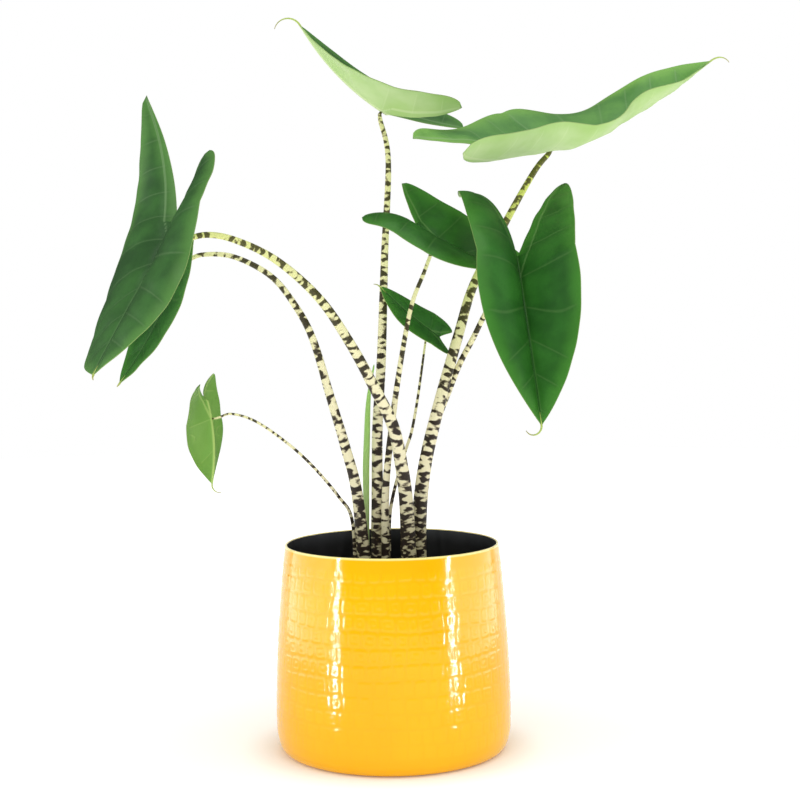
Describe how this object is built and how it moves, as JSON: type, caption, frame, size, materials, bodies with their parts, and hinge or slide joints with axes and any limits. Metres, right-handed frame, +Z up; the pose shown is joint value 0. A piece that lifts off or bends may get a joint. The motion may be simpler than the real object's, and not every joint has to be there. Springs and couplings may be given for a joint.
{
  "type": "potted alocasia",
  "caption": "Potted alocasia with arrow-shaped leaves on striped stalks, in a round yellow metal pot with a relief pattern, standing on a flat foot.",
  "frame": {"origin": "centre of the pot's flat foot, on the surface it stands on", "axes": "+Z up along the pot's axis; -Y towards the front, the side of the large hanging leaves; +X to the right seen from the front"},
  "size_m": [0.5348, 0.3421, 0.618],
  "materials": {
    "pot_enamel": "glossy golden yellow enamel over an embossed sheet-metal wall, black inside",
    "grow_pot_plastic": "matt black nursery-pot plastic",
    "soil": "dark, crumbly peat and bark potting mix",
    "leaf": "living leaf: satin dark green above with paler veins, pale green below",
    "stalk": "living leaf stalk: cream to yellow-green with dark brown blotches and bands",
    "sheath": "living pale green sheath of a new leaf"
  },
  "bodies": {
    "root": {"yellow_pot": "pot_enamel", "grow_pot": "grow_pot_plastic", "potting_soil": "soil", "blade_front_left": "leaf", "blade_behind_left": "leaf", "blade_top_left": "leaf", "blade_top_right": "leaf", "blade_middle": "leaf", "blade_right": "leaf", "blade_small_middle": "leaf", "blade_small_left": "leaf", "stalk_front_left": "stalk", "stalk_behind_left": "stalk", "stalk_top_left": "stalk", "stalk_top_right": "stalk", "stalk_middle": "stalk", "stalk_right": "stalk", "stalk_small_middle": "stalk", "stalk_small_left": "stalk", "new_leaf_sheath": "sheath"}
  },
  "joints": []
}
